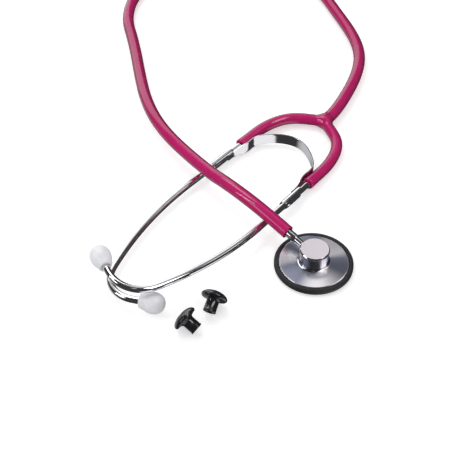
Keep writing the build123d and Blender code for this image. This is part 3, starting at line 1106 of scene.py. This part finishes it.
def finish_headset(chrome):
    """Ear tubes, spring and white ear tips."""
    steel = spring_material()
    white = white_tip_material()
    for side in SIDES:
        tube, half, roll, bulb = ear_tube(side), spring_half(side), sleeve(side), ear_tip(side)
        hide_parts(f"{side}_ear_tube")
        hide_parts(f"{side}_ear_tip")
        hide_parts("leaf_spring")
        finish_piece(tube, "chrome", chrome)
        finish_piece(half, "spring_steel", steel)
        finish_piece(roll, "spring_steel", steel)
        finish_piece(bulb, "tip_white", white)


def finish_spare_tips():
    """The two loose black ear tips."""
    black = black_tip_material()
    for i in (1, 2):
        mushroom = spare_tip(f"spare_ear_tip_{i}", f"spare_tip_{i}")
        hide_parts(f"spare_ear_tip_{i}")
        finish_piece(mushroom, "tip_black", black)


def finish_chestpiece(chrome):
    """Chestpiece: its nodes, each with its piece, slot and materials."""
    chest = [
        ("chestpiece_body", plate_and_boss(), "plate", turned_material(), boss_material()),
        ("boss_cap", cap(), "cap", satin_material()),
        ("chest_stem", stem(), "chrome", chrome),
        ("non_chill_rim", rim(), "rim", rim_material()),
        ("diaphragm", diaphragm_disc(), "diaphragm", diaphragm_material()),
    ]
    for node, piece, slot_name, *materials in chest:
        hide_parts(node)
        finish_piece(piece, slot_name, *materials)


# ---------------------------------------------------------------- stage
# What shiny surfaces see of the studio: (azimuth, elevation, full within, none beyond, tone)
PANELS = [
    (112, 16, 26, 32, 1.5),         # window behind, to the left
    (202, 27, 8, 12, 3.0),          # panel on the left
    (8, 43, 4, 8, 1.3),             # strip on the right
    (-92, 62, 3, 7, 0.9),           # lamp above the camera
    (-48, -38, 30, 35, 1.05),       # lit table in front
    (148, -38, 4, 44, 0.62),        # lit table behind on the left
    (75, 62, 8, 24, 0.6),           # ceiling
    (-24, 48, 8, 13, 5.0),          # tall lamp on the right, in front: its lower half
    (-13, 63, 8, 13, 5.0),          # and its upper half
]
ROOM_TONE = 0.045                   # of the dark room between them
EVEN_LIGHT = 0.72                   # from all round, on surfaces that don't shine
FLOOR_LIFT = 0.46                   # light that the floor adds for the camera alone


def floor(size=8, gap=0.02 * MM):
    """Flat sheet a hair below the lowest piece."""
    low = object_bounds()[0][2]
    bpy.ops.mesh.primitive_plane_add(size=size, location=(0, 0, low - gap))
    plane = bpy.context.object
    plane.name = "floor"
    plane.data.materials.append(floor_material())
    plane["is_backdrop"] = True


def area_light(name, place, target, size, power):
    """Rectangular lamp that faces a target."""
    light = bpy.data.lights.new(name, "AREA")
    light.shape, light.size, light.size_y = "RECTANGLE", size[0], size[1]
    light.energy = power
    lamp = bpy.data.objects.new(name, light)
    lamp.location = place
    toward = Vector(target) - Vector(place)
    lamp.rotation_euler = toward.to_track_quat("-Z", "Y").to_euler()
    bpy.context.scene.collection.objects.link(lamp)


def direction(azimuth, elevation):
    """Unit vector toward an azimuth and elevation in degrees."""
    a, e = math.radians(azimuth), math.radians(elevation)
    return math.cos(a) * math.cos(e), math.sin(a) * math.cos(e), math.sin(e)


def panels(n):
    """Brightness of the room in the direction that a reflected ray takes."""
    where = n.add("TexCoord"), "Generated"
    total = ROOM_TONE
    for azimuth, elevation, inner, outer, tone in PANELS:
        facing = n.add("VectorMath", {"operation": "DOT_PRODUCT"})
        n.feed(facing, {0: where, 1: direction(azimuth, elevation)})
        edge = math.cos(math.radians(outer)), math.cos(math.radians(inner))
        panel = n.ranged((facing, "Value"), edge, (0, tone), "SMOOTHSTEP")
        total = n.compute("MAXIMUM", panel, total)
    return total


def world():
    """Even white light for the surfaces, and a dark room with bright panels to reflect."""
    studio = bpy.data.worlds.new("studio")
    bpy.context.scene.world = studio
    studio.use_nodes = True
    n = Nodes(studio.node_tree)
    even = n.tree.nodes["Background"]
    n.feed(even, {"Color": (1, 1, 1, 1), "Strength": EVEN_LIGHT})
    room = n.add("Background", Color=(1.0, 0.985, 1.0, 1), Strength=panels(n))
    path = n.add("LightPath")
    mix = n.add("MixShader")
    n.feed(mix, {0: (path, "Is Glossy Ray"), 1: (even, "Background"), 2: (room, "Background")})
    n.feed(n.tree.nodes["World Output"], {"Surface": (mix, "Shader")})


def lights():
    """A soft key from above and behind, and a narrow strip from the left."""
    middle = Vector((-0.05, 0.06, 0))
    area_light("key", (-0.35, 0.55, 0.9), middle, size=(0.5, 0.4), power=2.2)
    away = Vector(direction(190, 38)) * 0.8
    area_light("strip", middle + away, middle, size=(0.04, 0.5), power=0.7)


def camera():
    """Looks along +Y, down at the middle of the view, from the photographer's place."""
    distance, elevation = 0.6303, math.radians(45.84)
    target = Vector((-0.0534, 0.0335, 0.0))
    lens = bpy.data.cameras.new("camera")
    lens.lens, lens.sensor_width = 80.42, 36.0
    lens.clip_start = 0.01
    shot = bpy.data.objects.new("camera", lens)
    back = Vector((0, -math.cos(elevation), math.sin(elevation)))
    shot.location = target + back * distance
    shot.rotation_euler = (-back).to_track_quat("-Z", "Y").to_euler()
    bpy.context.scene.collection.objects.link(shot)
    bpy.context.scene.camera = shot


finish_tubing()
CHROME = chrome_material()
finish_headset(CHROME)
finish_spare_tips()
finish_chestpiece(CHROME)
floor()
world()
lights()
camera()
bpy.context.scene.view_settings.view_transform = "Standard"
